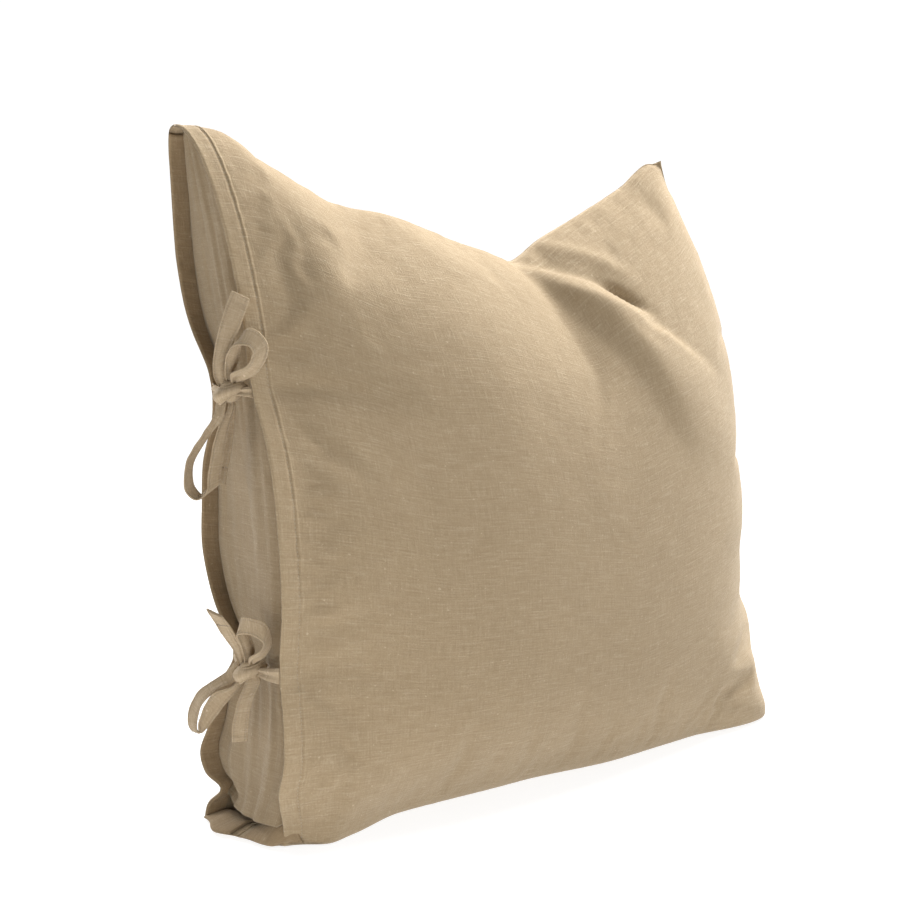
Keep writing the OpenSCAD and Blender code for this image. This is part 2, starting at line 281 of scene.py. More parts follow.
def unit(v):
    return v / np.maximum(np.linalg.norm(v, axis=-1, keepdims=True), 1e-12)


def new_object(name, points, faces, material, weave=None):
    mesh = bpy.data.meshes.new(name)
    mesh.from_pydata(np.asarray(points, float).reshape(-1, 3).tolist(), [], faces)
    mesh.polygons.foreach_set("use_smooth", [True] * len(mesh.polygons))
    if weave is not None:
        flat = np.zeros((len(mesh.vertices), 3), np.float32)
        flat[:, :2] = np.asarray(weave).reshape(-1, 2)
        mesh.attributes.new("weave", "FLOAT_VECTOR", "POINT")
        mesh.attributes["weave"].data.foreach_set("vector", flat.ravel())
    mesh.update()
    made = bpy.data.objects.new(name, mesh)
    bpy.context.scene.collection.objects.link(made)
    if material is not None:
        mesh.materials.append(material)
    return made


def quads(across, up, first=0, flip=False):
    faces = []
    for i in range(across - 1):
        for j in range(up - 1):
            a = first + i * up + j
            face = (a, a + up, a + up + 1, a + 1)
            faces.append(face[::-1] if flip else face)
    return faces


def closed_sheet(name, outer, inner, weave, material, flip):
    """A thin closed solid between two grids of points."""
    across, up = outer.shape[:2]
    count = across * up
    loop = [i * up for i in range(across)]
    loop += [(across - 1) * up + j for j in range(1, up)]
    loop += [i * up + up - 1 for i in range(across - 2, -1, -1)]
    loop += list(range(up - 2, 0, -1))
    faces = quads(across, up, 0, flip) + quads(across, up, count, not flip)
    for a, b in zip(loop, loop[1:] + loop[:1]):
        face = (a, a + count, b + count, b)
        faces.append(face[::-1] if flip else face)
    points = np.concatenate([outer.reshape(-1, 3), inner.reshape(-1, 3)])
    coords = np.concatenate([weave.reshape(-1, 2), weave.reshape(-1, 2) + 0.31])
    return new_object(name, points, faces, material, coords)


def ring_faces(rings, around, first=0, closed=False):
    faces = []
    last = rings if closed else rings - 1
    for i in range(last):
        for k in range(around):
            low, high = first + i * around, first + (i + 1) % rings * around
            after = (k + 1) % around
            faces.append((low + k, low + after, high + after, high + k))
    if not closed:
        faces.append(tuple(first + k for k in range(around))[::-1])
        faces.append(tuple(first + (rings - 1) * around + k for k in range(around)))
    return faces


def finish_piece(piece, body, slot, *nodes):
    if body is not None:
        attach(piece, body)
    if nodes:
        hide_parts(*nodes)
    return piece


# ---- Materials ---------------------------------------------------------------------


class Nodes:
    """A short way to write a node tree: each call adds a node and returns its output."""

    def __init__(self, name):
        self.material = bpy.data.materials.new(name)
        self.material.use_nodes = True
        self.tree = self.material.node_tree
        self.tree.nodes.clear()
        self.output = self.tree.nodes.new("ShaderNodeOutputMaterial")
        self.shader = self.tree.nodes.new("ShaderNodeBsdfPrincipled")
        self.tree.links.new(self.shader.outputs[0], self.output.inputs[0])

    def put(self, socket, value):
        if isinstance(value, bpy.types.NodeSocket):
            self.tree.links.new(value, socket)
        else:
            socket.default_value = value

    def add(self, kind, inputs, output=0, **settings):
        node = self.tree.nodes.new("ShaderNode" + kind)
        for key, value in settings.items():
            setattr(node, key, value)
        for key, value in inputs.items():
            self.put(node.inputs[key], value)
        return node.outputs[output]

    def math(self, operation, a, b=0.0, c=0.0):
        return self.add("Math", {0: a, 1: b, 2: c}, operation=operation)

    def blend(self, factor, a, b):
        """Colour a, with b laid over it by factor."""
        node = self.tree.nodes.new("ShaderNodeMix")
        node.data_type = "RGBA"
        self.put(node.inputs["Factor"], factor)
        self.put([i for i in node.inputs if i.name == "A" and i.type == "RGBA"][0], a)
        self.put([i for i in node.inputs if i.name == "B" and i.type == "RGBA"][0], b)
        return [o for o in node.outputs if o.type == "RGBA"][0]

    def noise(self, vector, stretch, detail=2.0, roughness=0.5, offset=(0, 0, 0)):
        moved = self.add("Mapping", {"Vector": vector, "Scale": stretch, "Location": offset})
        return self.add(
            "TexNoise",
            {"Vector": moved, "Scale": 1.0, "Detail": detail, "Roughness": roughness},
        )

    def shade(self, values):
        for name, value in values.items():
            self.put(self.shader.inputs[name], value)

    def bump(self, height, distance, strength, below=None):
        inputs = {"Height": height, "Distance": distance, "Strength": strength}
        if below is not None:
            inputs["Normal"] = below
        return self.add("Bump", inputs)

    def band(self, value, low, high):
        return self.add("MapRange", {0: value, 1: low, 2: high, 3: 0.0, 4: 1.0})


def linen(name, base, pale, dark, thread=0.0009, crease=0.0004, sheen=0.22):
    """Plain-woven linen: crossing threads, slubs along both directions, nubs, creases."""
    n = Nodes(name)
    coords = n.add("Attribute", {}, output=1, attribute_name="weave")
    split = n.tree.nodes.new("ShaderNodeSeparateXYZ")
    n.tree.links.new(coords, split.inputs[0])
    turn = math.pi / thread
    warp = n.math("SINE", n.math("MULTIPLY", split.outputs[0], turn))
    weft = n.math("SINE", n.math("MULTIPLY", split.outputs[1], turn))
    over = n.math("MULTIPLY_ADD", n.math("SIGN", n.math("MULTIPLY", warp, weft)), 0.18, 0.82)
    under = n.math("SUBTRACT", 1.64, over)
    weave = n.math(
        "MAXIMUM",
        n.math("MULTIPLY", n.math("ABSOLUTE", warp), over),
        n.math("MULTIPLY", n.math("ABSOLUTE", weft), under),
    )
    across = n.noise(coords, (38, 640, 1), 3.0, 0.6)
    down = n.noise(coords, (700, 50, 1), 3.0, 0.6, (3.7, 1.3, 0))
    slub_across, slub_down = n.band(across, 0.52, 0.74), n.band(down, 0.54, 0.76)
    thin_across, thin_down = n.band(across, 0.46, 0.3), n.band(down, 0.46, 0.3)
    cloud = n.noise(coords, (14, 17, 1), 4.0, 0.6, (9.1, 4.2, 0))
    mottle = n.noise(coords, (130, 150, 1), 3.0, 0.65, (1.9, 7.7, 0))
    grain = n.noise(coords, (520, 560, 1), 2.0, 0.7, (5.5, 2.2, 0))
    speck = n.band(n.noise(coords, (260, 300, 1), 1.0, 0.4, (2.4, 8.8, 0)), 0.71, 0.78)
    colour = n.blend(n.band(cloud, 0.3, 0.75), base, tuple(0.93 * c for c in base[:3]) + (1,))
    for factor, amount, tint in (
        (n.band(mottle, 0.42, 0.72), 0.24, dark),
        (slub_across, 0.62, pale),
        (slub_down, 0.46, pale),
        (thin_across, 0.5, dark),
        (thin_down, 0.4, dark),
        (n.band(grain, 0.35, 0.7), 0.45, dark),
        # Painted shade: the low places of the weave, between the threads, are darkened
        (n.math("SUBTRACT", 1.0, weave), 0.4, dark),
        (speck, 0.6, pale),
    ):
        colour = n.blend(n.math("MULTIPLY", factor, amount), colour, tint)
    soft = n.noise(coords, (70, 80, 1), 3.0, 0.55, (6.1, 3.3, 0))
    bump = n.bump(soft, crease * 2, 0.5)
    bump = n.bump(n.math("ADD", slub_across, slub_down), 0.0003, 0.6, bump)
    bump = n.bump(grain, 0.0004, 0.5, bump)
    n.shade(
        {
            "Base Color": colour,
            "Roughness": n.add("MapRange", {0: grain, 1: 0.3, 2: 0.7, 3: 0.82, 4: 0.96}),
            "Sheen Weight": sheen,
            "Sheen Roughness": 0.5,
            "Sheen Tint": (1.0, 0.95, 0.87, 1),
            "Specular IOR Level": 0.2,
            "Normal": n.bump(weave, 0.00025, 0.7, bump),
        }
    )
    return n.material


def thread_material(name, base, dark):
    """Spun sewing thread: fine slanting plies."""
    n = Nodes(name)
    coords = n.add("TexCoord", {}, output=3)
    ply = n.noise(coords, (2600, 2600, 900), 2.0, 0.6)
    tone = n.noise(coords, (60, 60, 60), 2.0, 0.5)
    colour = n.blend(n.band(ply, 0.35, 0.7), base, dark)
    colour = n.blend(n.math("MULTIPLY", n.band(tone, 0.4, 0.7), 0.3), colour, dark)
    rough = n.add("MapRange", {0: ply, 1: 0.3, 2: 0.7, 3: 0.55, 4: 0.8})
    n.shade({"Base Color": colour, "Roughness": rough, "Sheen Weight": 0.2})
    n.shade({"Normal": n.bump(ply, 0.0002, 0.6)})
    return n.material


def down_material():
    """Feather and down: pale clumps, with painted shade darkening the hollows between them."""
    n = Nodes("filling")
    coords = n.add("TexCoord", {}, output=3)
    clumps = n.noise(coords, (45, 45, 45), 4.0, 0.65)
    barbs = n.noise(coords, (500, 500, 120), 3.0, 0.7)
    # Painted shade: where the clumps dip, the colour goes darker
    colour = n.blend(n.band(clumps, 0.35, 0.65), (0.62, 0.6, 0.55, 1), (0.86, 0.85, 0.81, 1))
    colour = n.blend(n.math("MULTIPLY", n.band(barbs, 0.4, 0.7), 0.3), colour, (0.7, 0.68, 0.62, 1))
    rough = n.add("MapRange", {0: barbs, 1: 0.3, 2: 0.7, 3: 0.85, 4: 1.0})
    n.shade({"Base Color": colour, "Roughness": rough, "Sheen Weight": 0.4})
    n.shade({"Normal": n.bump(clumps, 0.006, 0.6)})
    return n.material


LINEN = linen("linen", (0.45, 0.345, 0.218, 1), (0.60, 0.49, 0.345, 1), (0.30, 0.215, 0.122, 1))
# Painted light: the ties' linen is a brighter copy of the cover's linen, for the light the ties catch
LIT_TIE_LINEN = linen("linen_tie", (0.50, 0.39, 0.26, 1), (0.66, 0.545, 0.40, 1), (0.34, 0.25, 0.15, 1))
# Painted shade: the flap's linen is a darker copy of the cover's linen, for the shade it lies in
# behind the flanges
SHADED_FLAP_LINEN = linen("linen_flap_shaded", (0.36, 0.272, 0.168, 1), (0.47, 0.38, 0.26, 1), (0.25, 0.178, 0.1, 1))
# Painted shade: the hem's linen is a darker copy of the cover's linen, for the shade inside the
# flanges where it shows
SHADED_HEM_LINEN = linen("linen_hem_shaded", (0.37, 0.27, 0.16, 1), (0.48, 0.375, 0.25, 1), (0.24, 0.165, 0.09, 1))
COTTON = linen(
    "cotton",
    (0.78, 0.75, 0.68, 1),
    (0.85, 0.83, 0.78, 1),
    (0.66, 0.62, 0.54, 1),
    thread=0.0005,
    crease=0.0003,
    sheen=0.15,
)
THREAD = thread_material("thread", (0.5, 0.41, 0.3, 1), (0.33, 0.26, 0.175, 1))
DOWN = down_material()

# ---- Cloth simulation of the filled cover ------------------------------------------

SIM_COLUMNS = np.linspace(0, 1, 101)
SIM_ROWS = np.concatenate([np.linspace(0, BASE_SHARE, 7), np.linspace(BASE_SHARE, 1, 92)[1:]])
SIM_FRAMES = 20
LARGEST_MOVE = 0.010
CLOTH_SETTINGS = {
    "quality": 5,
    "mass": 0.25,
    "tension_stiffness": 30,
    "compression_stiffness": 30,
    "shear_stiffness": 12,
    "bending_stiffness": 2.5,
    "use_pressure": True,
    "uniform_pressure_force": 4,
    "vertex_group_mass": "held",
    "pin_stiffness": 1.2,
    "vertex_group_shrink": "seam",
    "shrink_min": -0.010,
    "shrink_max": -0.002,
}


def simulate_cover():
    """Inflates the two joined panels, cut a little larger than the shape they fill, and
    returns how far each grid point moved."""
    s, v = np.meshgrid(SIM_COLUMNS, SIM_ROWS, indexing="ij")
    t = clamp((v - BASE_SHARE) / (1 - BASE_SHARE))
    across, up = s.shape
    count = across * up
    panels = [skin(s, v, FRONT), skin(s, v, BACK)]
    shared = (s == 1) | (v == 0) | (v == 1)
    seam = (panels[0] + panels[1]) / 2
    points = [np.where(shared[..., None], seam, p).reshape(-1, 3) for p in panels]
    index = np.arange(count)
    second = np.where(shared.ravel(), index, index + count)
    faces = quads(across, up)
    faces += [tuple(int(second[k]) for k in face[::-1]) for face in quads(across, up)]
    used = np.concatenate([index, index[~shared.ravel()] + count])
    renumber = np.full(2 * count, -1)
    renumber[used] = np.arange(len(used))
    faces = [tuple(int(renumber[k]) for k in face) for face in faces]
    start = np.concatenate(points)[used]
    body = new_object("cover_sim", start, faces, None)
    edge = np.clip(1 - s * PANEL_WIDTH / 60, 0, 1) ** 1.5
    held = np.maximum.reduce([edge, smooth(0.05, 0.0, t), 0.5 * shared, 0.06 + 0 * s])
    held = np.concatenate([held.ravel(), held.ravel()])[used]
    near_seam = np.maximum(smooth(0.07, 0.0, 1 - s), smooth(0.08, 0.0, 1 - t))
    near_seam = np.concatenate([near_seam.ravel(), near_seam.ravel()])[used]
    for name, weights in (("held", held), ("seam", near_seam)):
        group = body.vertex_groups.new(name=name)
        for k, w in enumerate(weights):
            group.add([k], float(w), "REPLACE")
    cloth = body.modifiers.new("Cloth", "CLOTH")
    for setting, value in CLOTH_SETTINGS.items():
        setattr(cloth.settings, setting, value)
    cloth.settings.effector_weights.gravity = 0
    cloth.collision_settings.use_collision = False
    scene = bpy.context.scene
    scene.frame_start, scene.frame_end = 1, SIM_FRAMES
    for step in range(1, SIM_FRAMES + 1):
        scene.frame_set(step)
    result = body.evaluated_get(bpy.context.evaluated_depsgraph_get())
    moved = np.zeros(len(used) * 3)
    result.data.vertices.foreach_get("co", moved)
    scene.frame_set(1)
    shift = moved.reshape(-1, 3) - start
    length = np.maximum(np.linalg.norm(shift, axis=1, keepdims=True), 1e-9)
    shift = shift / length * LARGEST_MOVE * np.tanh(length / LARGEST_MOVE)
    bpy.data.objects.remove(body)
    front = shift[renumber[index]].reshape(across, up, 3)
    back = shift[renumber[second]].reshape(across, up, 3)
    return {FRONT: front, BACK: back}


# ---- The cover's panels ------------------------------------------------------------

EDGE_COLUMNS = (0, 0.25, 0.8, 1.5, 2.4, 4, 6, 8, 10, 12, 13.4, 14.3, 15, 15.7, 16.5, 17.2, 17.8)
EDGE_COLUMNS += (18.4, 19, 20, 22, 25, 28, 31)
COLUMNS = np.concatenate(
    [
        np.array(EDGE_COLUMNS) / PANEL_WIDTH,
        np.linspace(35 / PANEL_WIDTH, 0.99, 135),
        [0.994, 0.997, 0.999, 1],
    ]
)
ROWS = np.concatenate(
    [
        np.linspace(0, BASE_SHARE, 15),
        np.linspace(BASE_SHARE, 0.19, 30)[1:],
        np.linspace(0.19, 0.985, 134)[1:],
        [0.99, 0.994, 0.997, 0.999, 1],
    ]
)
S, V = np.meshgrid(COLUMNS, ROWS, indexing="ij")
T, B = clamp((V - BASE_SHARE) / (1 - BASE_SHARE)), clamp(V / BASE_SHARE)
WEAVE = np.stack([S * CUT_SIDE, V * 0.7], -1)


def panel_detail(side):
    """How far each point of a panel stands out of the simulated skin, in millimetres."""
    x, y = S * PANEL_WIDTH, T * HEIGHT - (1 - B) * 50
    seed = 40 if side == FRONT else 80
    inside = smooth(0.0, 0.05, T)
    out = 0.4 * crumple(x, y, 40, seed) * inside
    out += 0.1 * crumple(x, y, 15, seed + 5) * inside
    # Hem: two more layers up to the stitch line, which the stitches draw in
    pucker = noise(y / 7, 0, seed + 9)
    out += 0.8 * smooth(HEM + 0.8, HEM - 0.8, x) * inside
    out -= (1.0 + 0.3 * pucker) * bell(x, STITCH_LINE, 1.1) * inside
    out += 0.5 * noise(y / 9, 0, seed + 11) * bell(x, HEM + 3, 6) * inside
    # Seams: a valley at the stitches and small gathers across it
    for away, place, start in (((1 - S) * PANEL_WIDTH, y, 12), ((1 - T) * HEIGHT, x, 13)):
        out -= 1.2 * bell(away, 0, 2.6)
        gather = noise(place / 11, away / 40, seed + start)
        out += 1.1 * gather * np.exp(-away / 14) * smooth(0, 4, away) * inside
    return out


def bow_folds(side):
    """Folds that run into the panel from each bow, and the sewn tie end under the hem."""
    x, z = S * PANEL_WIDTH, T * HEIGHT
    out = 0 * x
    for knot, slope in ((UPPER_KNOT, 0.05), (LOWER_KNOT, -0.04)):
        height = knot[2] + 4
        fade = smooth(6, 20, x) * np.exp(-x / 70)
        for rise, strength, width in ((0, -1.6, 7), (15, 1.5, 8), (-16, 1.3, 9), (34, -0.8, 11)):
            out += strength * fade * bell(z, height + rise + (slope + rise * 0.004) * x, width)
        patch = smooth(-9.5, -7.5, z - height) * smooth(9.5, 7.5, z - height)
        out += 0.7 * patch * smooth(14, 11.5, x)
    return out


def dent_shape():
    """The front panel where the top edge was pressed in: a fold that runs from the notch
    towards the closed side, with a small hollow behind it."""
    x, z = S * PANEL_WIDTH, HEIGHT - height_at(S, T)
    notch_x, notch_z = DENT_PLACE * PANEL_WIDTH, DENT_DEPTH
    run_x, run_z = FOLD_END[0] - notch_x, FOLD_END[1] - notch_z
    along = ((x - notch_x) * run_x + (z - notch_z) * run_z) / (run_x**2 + run_z**2)
    # Positive above the fold line, towards the upper closed corner
    away = ((x - notch_x) * run_z - (z - notch_z) * run_x) / math.hypot(run_x, run_z)
    away = away - 2 * np.sin(np.pi * clamp(along))
    on = smooth(-0.1, 0.25, along) * smooth(1.12, 0.85, along)
    out = 4.0 * bell(away, -2, 6) * on
    out -= 2.6 * smooth(0, 6, away) * np.exp(-np.maximum(away - 6, 0) / 22) * on
    out -= 9.0 * bell(away, 7, 5.5) * bell(along, 0.78, 0.16)
    out += 2.4 * bell(away, 36, 9) * smooth(0.05, 0.3, along) * smooth(1.0, 0.6, along)
    out -= 3.2 * bell(away, -12, 6) * bell(along, 1.0, 0.11)
    out -= 1.6 * bell(away, -25, 7) * bell(along, 1.0, 0.14)
    # Below the fold the front stays full, with no valley under the notch
    beyond = x - notch_x - 0.45 * (z - notch_z)
    fill = smooth(-15, 25, beyond) * smooth(125, 25, beyond) * smooth(-1, -14, away)
    out += 11 * fill * smooth(340, 200, z)
    out += 5 * bell(x, 80, 20) * bell(z, 117, 45)
    return out * smooth(0, 16, (1 - T) * HEIGHT)


def flange_shift(v):
    """How the back flange stands off and is drawn in by the bows, and its end pushed in
    just above the floor, in metres."""
    z = (v - BASE_SHARE) / (1 - BASE_SHARE) * HEIGHT
    off = 5 * bell(z, 480, 70) - 8 * bell(z, 350, 28) + 5 * bell(z, 245, 34)
    off = off - 9 * bell(z, 148, 24) + 12 * bell(z, 54, 20)
    push = 10 * bell(z, 25, 7.5)
    off, push = off[..., None], push[..., None]
    return (off * np.array([-0.55, 0.75, 0]) + push * np.array([0.9, -0.8, 0])) * MM


def outline(base, side):
    """Bulges of the outline: the closed side, the top edge and the foot of the front."""
    z, rise = T * HEIGHT, smooth(0.35, 1, T) ** 3
    closed = smooth(0.7, 1, S)
    right = 15 * bell(z, 112, 26) - 7 * bell(z, 200, 30) + 8 * bell(z, 430, 85)
    right = right - 6 * bell(z, 40, 20) - 11 * bell(z, 585, 55)
    base[..., 0] += right * closed * MM
    top = 8 * smooth(0.6, 0.68, S) + 4 * bell(S, 0.55, 0.05) - 4 * bell(S, 0.13, 0.045)
    top = top + 3 * bell(S, 0.07, 0.03) - 7 * bell(S, 0, 0.025)
    base[..., 2] += top * rise * MM
    if side == FRONT:
        foot = 13 * smooth(0.13, 0.22, S) * smooth(0.62, 0.42, S) - 17 * bell(S, 0.075, 0.055)
        base[..., 1] += foot * B * np.exp(-((z / 55) ** 2)) * MM
    return base


def folded_ends(base, side):
    """The base strip's open end is folded over like a parcel's: a facet rises from its
    edge to a crease, highest next to each flange."""
    x = S * PANEL_WIDTH
    across = smooth(1.0, 0.8, B) * (0.35 + 0.65 * smooth(0.1, 0.75, B))
    rise, reach = 19, 5 * across
    if side == BACK:
        rise, reach = 4 + 15 * smooth(0.5, 0, B), 11 * bell(B, 0.4, 0.28)
    lift = rise * across * np.minimum(x / 12, 1) * smooth(60, 18, x)
    lift = lift + 1.2 * across * noise(B * 5, x / 12, 31) * smooth(0, 8, x) * smooth(60, 30, x)
    tuck = -reach * smooth(14, 0, x)
    base[..., 2] += lift * MM
    base[..., 0] += tuck * MM
    if side == BACK:
        base += flange_shift(V) * (np.exp(-x / 45) * smooth(0.5, 1.0, B))[..., None]
    return base


def finished_panel(side, shift):
    base = skin(S, V, side)
    if shift is not None:
        base = base + resample_grid(SIM_COLUMNS, SIM_ROWS, shift[side], COLUMNS, ROWS)
    base = outline(base, side)
    facing = grid_normals(base, 1 if side == FRONT else -1)
    out = panel_detail(side) + bow_folds(side)
    if side == FRONT:
        out = out + dent_shape()
    # The floor keeps the base strip flat
    out = out * smooth(0.0, 0.9, B)
    base = base + facing * (out * MM)[..., None]
    base = folded_ends(base, side)
    base[..., 2] = np.maximum(base[..., 2], 0.0)
    return base


EDGE_RADIUS = 1.9
HEM_CLOTH = 1.3


def rounded_depth(x):
    """Depth of the outer face below the skin near the folded flange edge."""
    inside = clamp(1 - x / EDGE_RADIUS)
    return EDGE_RADIUS * (1 - np.sqrt(1 - inside**2))


def make_panel(side, base):
    name = "cover_front" if side == FRONT else "cover_back"
    facing = grid_normals(base, 1 if side == FRONT else -1)
    x = S * PANEL_WIDTH
    depth = rounded_depth(x)
    inner = np.maximum(depth + 0.02, CLOTH) + (EDGE_RADIUS - CLOTH) * smooth(2.0, 0.0, x)
    outer_face = base - facing * (depth * MM)[..., None]
    inner_face = base - facing * (inner * MM)[..., None]
    inner_face[..., 2] = np.maximum(inner_face[..., 2], 0.0008)
    piece = closed_sheet(name + "_linen", outer_face, inner_face, WEAVE, LINEN, side == BACK)
    finish_piece(piece, ROOT, "linen", name)


class Surface:
    """Places on a finished panel: x mm in from the flange edge, v up the panel."""

    def __init__(self, side, base):
        self.base, self.facing = base, grid_normals(base, 1 if side == FRONT else -1)

    def at(self, x, v, depth=0.0):
        x, v = np.broadcast_arrays(np.asarray(x, float), np.asarray(v, float))
        s = x.ravel() / PANEL_WIDTH
        i = np.clip(np.searchsorted(COLUMNS, s) - 1, 0, len(COLUMNS) - 2)
        j = np.clip(np.searchsorted(ROWS, v.ravel()) - 1, 0, len(ROWS) - 2)
        a = ((s - COLUMNS[i]) / (COLUMNS[i + 1] - COLUMNS[i]))[:, None]
        b = ((v.ravel() - ROWS[j]) / (ROWS[j + 1] - ROWS[j]))[:, None]

        def mix(g):
            low = g[i, j] * (1 - a) + g[i + 1, j] * a
            return low * (1 - b) + (g[i, j + 1] * (1 - a) + g[i + 1, j + 1] * a) * b

        depth = np.broadcast_to(np.asarray(depth, float), x.shape).ravel()[:, None]
        place = mix(self.base) - unit(mix(self.facing)) * depth * MM
        return place.reshape(x.shape + (3,))


def make_hem(side, surface):
    """The turned-in edge: its rounded fold closes the flange, its free edge lies inside."""
    x = np.array([0, 0.25, 0.8, 1.5, 2.4, 4, 6, 9, 11.5, 13.7, 15, 16.3, 17.4, 17.9, 18.1])
    v = np.linspace(0.012, 0.992, 230)
    X, W = np.meshgrid(x, v, indexing="ij")
    rounded = rounded_depth(X)
    pucker = 0.25 * noise(W * HEIGHT / 8, 0, 5)
    near = np.maximum(rounded, HEM_CLOTH) + (EDGE_RADIUS - HEM_CLOTH) * smooth(2.0, 0.0, X)
    far = 2 * EDGE_RADIUS - rounded - (0.35 + pucker) * bell(X, STITCH_LINE, 1.2)
    far = far - 1.0 * smooth(HEM - 0.8, HEM, X)
    name = "front_hem" if side == FRONT else "back_hem"
    weave = np.stack([X * MM + 1.7, W * 0.7], -1)
    outer, inner = surface.at(X, W, near), surface.at(X, W, far)
    # The hem uses the darker linen copy, with the shade inside the flange painted in
    piece = closed_sheet(name + "_linen", outer, inner, weave, SHADED_HEM_LINEN, side == BACK)
    finish_piece(piece, ROOT, "linen", name)


STITCH_PROFILE = ((-0.5, 0.05), (-0.38, 0.75), (-0.15, 1.0), (0.15, 1.0), (0.38, 0.75), (0.5, 0.05))


def stitches(name, starts, ends, ups, radius, body, *nodes):
    """One short rounded thread for each pair of points, in one piece."""
    points, faces = [], []
    around = 6
    for a, b, up in zip(starts, ends, ups):
        ahead = unit(b - a)
        side = unit(np.cross(ahead, up))
        rise = np.cross(side, ahead)
        first = len(points)
        for along, width in STITCH_PROFILE:
            centre = (a + b) / 2 + (b - a) * along
            for k in range(around):
                turn = 2 * math.pi * k / around
                offset = side * math.cos(turn) + rise * math.sin(turn) * 0.8
                points.append(centre + offset * radius * width)
        faces += ring_faces(len(STITCH_PROFILE), around, first)
    piece = new_object(name, np.array(points), faces, THREAD)
    return finish_piece(piece, body, "thread", *nodes)


def hem_stitches(side, surface):
    name = "front_hem_stitching" if side == FRONT else "back_hem_stitching"
    pitch = 3.4
    count = int(HEIGHT / pitch)
    v = np.linspace(0.1, 0.985, count)
    half = 0.33 * (v[1] - v[0])
    wander = STITCH_LINE + 0.15 * noise(np.arange(count) / 5, 0, 3)
    starts = surface.at(wander, v - half, -0.12)
    ends = surface.at(wander, v + half, -0.12)
    ups = surface.at(wander, v, -1) - surface.at(wander, v, 0)
    return stitches(name + "_thread", starts, ends, ups, 0.00034, ROOT, name)


def seam_thread(name, route, node):
    """The lock-stitch line that joins two panels, just inside the seam."""
    starts, ends = route[:-1] * 0.85 + route[1:] * 0.15, route[:-1] * 0.15 + route[1:] * 0.85
    ups = np.tile([0.3, 1.0, 0.2], (len(starts), 1))
    return stitches(name, starts, ends, ups, 0.00035, ROOT, node)


# ---- The tuck-in flap --------------------------------------------------------------


FLAP_DEPTH = 4.9


def flap_grid(q, v):
    """q runs across the opening from -1 at the front hem to 1 at the back hem, and
    beyond that along the tucked-in ends."""
    t = clamp((v - BASE_SHARE) / (1 - BASE_SHARE))
    w = np.minimum(np.abs(q), 1)
    run = np.maximum(np.abs(q) - 1, 0) * 60 + 14
    edge_front = skin(run / width_at(t), v, FRONT, FLAP_DEPTH) / MM
    edge_back = skin(run / width_at(t), v, BACK, FLAP_DEPTH) / MM
    edge = np.where((q < 0)[..., None], edge_front, edge_back)
    mid_y = middle(0, t)
    inward = 5 + 9 * w**3
    x = np.where(np.abs(q) < 1, left_edge(t) + inward, edge[..., 0])
    y = np.where(np.abs(q) < 1, mid_y + (edge[..., 1] - mid_y) * w, edge[..., 1])
    z = np.where(np.abs(q) < 1, height_at(0 * t, t), edge[..., 2])
    return np.stack([x, y, z], -1) * MM


def make_flap():
    arms = np.linspace(1.03, 1.8, 14)
    q = np.concatenate([-arms[::-1], np.linspace(-1, 1, 75), arms])
    v = np.concatenate([np.linspace(0.114, 0.18, 24), np.linspace(0.18, 0.98, 205)[1:]])
    Q, W = np.meshgrid(q, v, indexing="ij")
    base = flap_grid(Q, W) + flange_shift(W) * smooth(0.1, 1.0, Q)[..., None] * 0.75
    facing = grid_normals(base, 1)
    facing = facing * np.where(facing[..., :1] > 0.2, -1, 1)
    y, z = Q * 64, W * HEIGHT
    free = smooth(1.0, 0.7, np.abs(Q))
    out = 2.2 * noise(y / 17 + 0.35 * noise(z / 90, 0, 21), z / 150, 20) * free
    out += 1.3 * noise(y / 9, z / 80, 22) * free
    out += 0.5 * crumple(y, z, 22, 23) * free
    bow = bell(z, UPPER_KNOT[2] + 10, 40) + bell(z, LOWER_KNOT[2] + 10, 36)
    out -= 2.0 * bow * free
    out -= 2.5 * free
    # The lower end stands away from the insert and follows the floor
    out += 5.0 * smooth(40, 4, z - BASE_SHARE * HEIGHT) * smooth(1.0, 0.2, np.abs(Q))
    base = base + facing * (out * MM)[..., None]
    inner = base - facing * CLOTH * MM
    weave = np.stack([y * MM + 0.9, z * MM], -1)
    # The flap uses the darker linen copy, with its shade painted in
    piece = closed_sheet("tuck_flap_linen", base, inner, weave, SHADED_FLAP_LINEN, False)
    finish_piece(piece, ROOT, "linen", "tuck_flap")


# ---- Ties --------------------------------------------------------------------------

TURN = math.radians(CAMERA_TURN)
RIGHT = np.array([math.cos(TURN), -math.sin(TURN), 0])
OUT = np.array([-math.sin(TURN), -math.cos(TURN), 0])
UP = np.array([0, 0, 1.0])


def bow_place(knot, p):
    """A point given as (right, out, up) from a knot's centre, in millimetres."""
    p = np.asarray(p, float)
    return (np.array(knot) + p[..., :1] * RIGHT + p[..., 1:2] * OUT + p[..., 2:] * UP) * MM


def lengths_along(line):
    """The distance from a line's start to each of its points."""
    return np.concatenate([[0], np.cumsum(np.linalg.norm(np.diff(line, axis=0), axis=1))])


